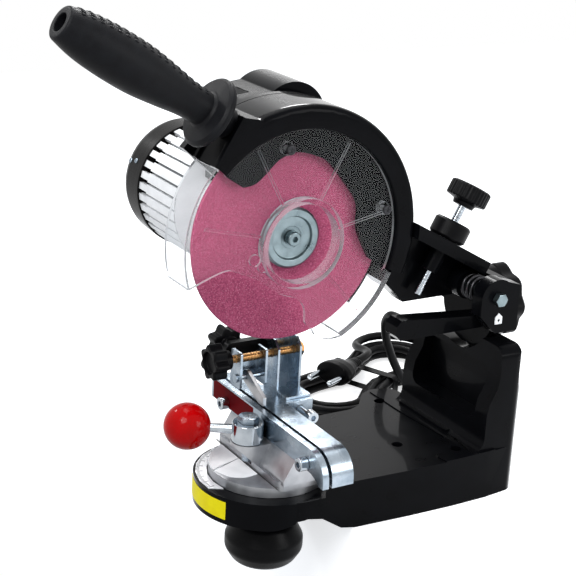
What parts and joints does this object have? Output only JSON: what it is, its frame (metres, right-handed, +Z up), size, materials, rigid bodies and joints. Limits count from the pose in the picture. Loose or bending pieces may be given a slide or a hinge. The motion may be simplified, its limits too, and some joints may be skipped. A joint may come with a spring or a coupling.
{
  "type": "electric chainsaw sharpener",
  "caption": "Bench-mounted electric saw chain grinder: motor head with guarded pink wheel on a tilting, sprung arm over a swivelling chain vise with cam lever.",
  "frame": {"origin": "on the flat underside of the foot, on the middle rib, in the plane of the grinding wheel", "axes": "+X to the open side of the wheel along the motor's shaft, +Y back to the column, +Z up"},
  "size_m": [0.2967, 0.4344, 0.3978],
  "materials": {
    "black_casting": "gloss",
    "silver_casting": "satin",
    "zinc_plate": "satin",
    "chrome_plate": "polished",
    "bare_steel": "satin",
    "yellow_zinc": "satin",
    "moulded_black": "satin",
    "rubber_black": "matte",
    "red_gloss": "gloss",
    "clear_plastic": "polished",
    "pink_grit": "matte",
    "scale_silver": "satin"
  },
  "bodies": {
    "base": {"base_casting": "black_casting", "scale_plate": "scale_silver", "cord_gland": "rubber_black", "cord": "rubber_black", "cord_hank": "rubber_black", "cord_tie": "moulded_black", "plug_body": "moulded_black", "plug_pin_1": "chrome_plate", "plug_pin_2": "chrome_plate"},
    "turntable": {"vise_turntable": "silver_casting", "swivel_bolt": "zinc_plate", "lock_washer": "zinc_plate", "far_jaw": "zinc_plate", "jaw_screw_1": "chrome_plate", "jaw_screw_2": "chrome_plate", "cam_bolt": "zinc_plate", "stop_bracket": "zinc_plate", "stop_clamp_screw": "chrome_plate", "stop_side_arm": "moulded_black"},
    "vise_knob": {"vise_lock_knob": "moulded_black"},
    "moving_jaw": {"near_jaw": "zinc_plate"},
    "cam": {"cam_lever": "chrome_plate", "lever_ball": "red_gloss"},
    "feed_screw": {"stop_screw": "yellow_zinc", "stop_knob": "moulded_black"},
    "carriage": {"stop_carriage": "zinc_plate"},
    "pawl": {"chain_pawl": "zinc_plate"},
    "stop_nut": {"stop_lock_knob": "moulded_black"},
    "yoke": {"tilt_yoke": "black_casting", "tilt_stud": "zinc_plate", "hinge_bolt": "chrome_plate", "hinge_nut": "zinc_plate", "return_spring": "bare_steel"},
    "tilt_nut": {"tilt_lock_knob": "moulded_black"},
    "head": {"head_arm": "black_casting", "guard_screw_1": "zinc_plate", "guard_screw_2": "zinc_plate", "wheel_guard": "black_casting", "handle_grip": "rubber_black", "clear_cover": "clear_plastic", "cover_screw_1": "bare_steel", "cover_screw_2": "bare_steel", "motor_bell": "silver_casting", "motor_housing": "silver_casting", "motor_end_cap": "black_casting", "stator": "bare_steel", "front_bearing": "bare_steel", "rear_bearing": "bare_steel", "switch_box": "moulded_black"},
    "spindle": {"grinding_wheel": "pink_grit", "inner_flange": "zinc_plate", "outer_flange": "zinc_plate", "spindle_screw": "chrome_plate", "motor_shaft": "bare_steel", "rotor": "bare_steel", "cooling_fan": "moulded_black"},
    "rocker": {"rocker_switch": "moulded_black"},
    "depth_rod": {"depth_screw": "chrome_plate"},
    "depth_wheel": {"depth_knob": "moulded_black"},
    "depth_nut": {"depth_lock_collar": "moulded_black"}
  },
  "joints": [
    {"name": "head_tilt", "type": "hinge", "parent": "base", "child": "yoke", "pos_m": [0, 0.058, 0.131], "axis": [0, 1, 0], "range_deg": [-30, 0]},
    {"name": "tilt_lock_turn", "type": "hinge", "parent": "yoke", "child": "tilt_nut", "pos_m": [0, 0.079, 0.131], "axis": [0, 1, 0], "range_deg": [0, 360]},
    {"name": "head_lower", "type": "hinge", "parent": "yoke", "child": "head", "pos_m": [0, 0.0405, 0.152], "axis": [1, 0, 0], "range_deg": [0, 19], "stiffness_Nm_per_rad": 2.6, "springref_deg": -148.97},
    {"name": "wheel_spin", "type": "hinge", "parent": "head", "child": "spindle", "pos_m": [0, -0.1053, 0.201], "axis": [1, 0, 0], "continuous": true},
    {"name": "switch_rock", "type": "hinge", "parent": "head", "child": "rocker", "pos_m": [-0.053, -0.121, 0.286], "axis": [1, 0, 0], "range_deg": [-12, 0]},
    {"name": "depth_travel", "type": "slide", "parent": "head", "child": "depth_rod", "axis": [0, 0.4779, 0.8784], "range_m": [-0.0075, 0.0075]},
    {"name": "depth_turn", "type": "hinge", "parent": "depth_rod", "child": "depth_wheel", "pos_m": [0.01, 0.0189, 0.187], "axis": [0, 0.4779, 0.8784], "range_deg": [-2170, 2170]},
    {"name": "depth_lock_turn", "type": "hinge", "parent": "head", "child": "depth_nut", "pos_m": [0.01, 0.0189, 0.187], "axis": [0, 0.4779, 0.8784], "range_deg": [0, 180]},
    {"name": "vise_swivel", "type": "hinge", "parent": "base", "child": "turntable", "pos_m": [0, -0.112, 0.0285], "axis": [0, 0, 1], "range_deg": [-30, 30]},
    {"name": "vise_lock_turn", "type": "hinge", "parent": "turntable", "child": "vise_knob", "pos_m": [0, -0.112, -0.02], "axis": [0, 0, -1], "range_deg": [0, 540]},
    {"name": "cam_turn", "type": "hinge", "parent": "turntable", "child": "cam", "pos_m": [0, -0.129, 0.0635], "axis": [0, 0, 1], "range_deg": [0, 81]},
    {"name": "jaw_close", "type": "slide", "parent": "turntable", "child": "moving_jaw", "axis": [0, 1, 0], "range_m": [0, 0.0008]},
    {"name": "stop_feed_turn", "type": "hinge", "parent": "turntable", "child": "feed_screw", "pos_m": [-0.035, -0.112, 0.102], "axis": [0, 1, 0], "range_deg": [-1310, 1310]},
    {"name": "stop_travel", "type": "slide", "parent": "turntable", "child": "carriage", "axis": [0, 1, 0], "range_m": [-0.0045, 0.0045]},
    {"name": "pawl_lift", "type": "hinge", "parent": "carriage", "child": "pawl", "pos_m": [-0.033, -0.112, 0.088], "axis": [0, -1, 0], "range_deg": [0, 60]},
    {"name": "stop_lock_turn", "type": "hinge", "parent": "turntable", "child": "stop_nut", "pos_m": [-0.06, -0.116, 0.1045], "axis": [-1, 0, 0], "range_deg": [0, 360]}
  ],
  "couplings": [
    {"joint": "depth_turn", "follows": "depth_travel", "rad_per_m": 5026.5},
    {"joint": "cam_turn", "follows": "jaw_close", "rad_per_m": 1754.4},
    {"joint": "stop_feed_turn", "follows": "stop_travel", "rad_per_m": -5026.5}
  ]
}
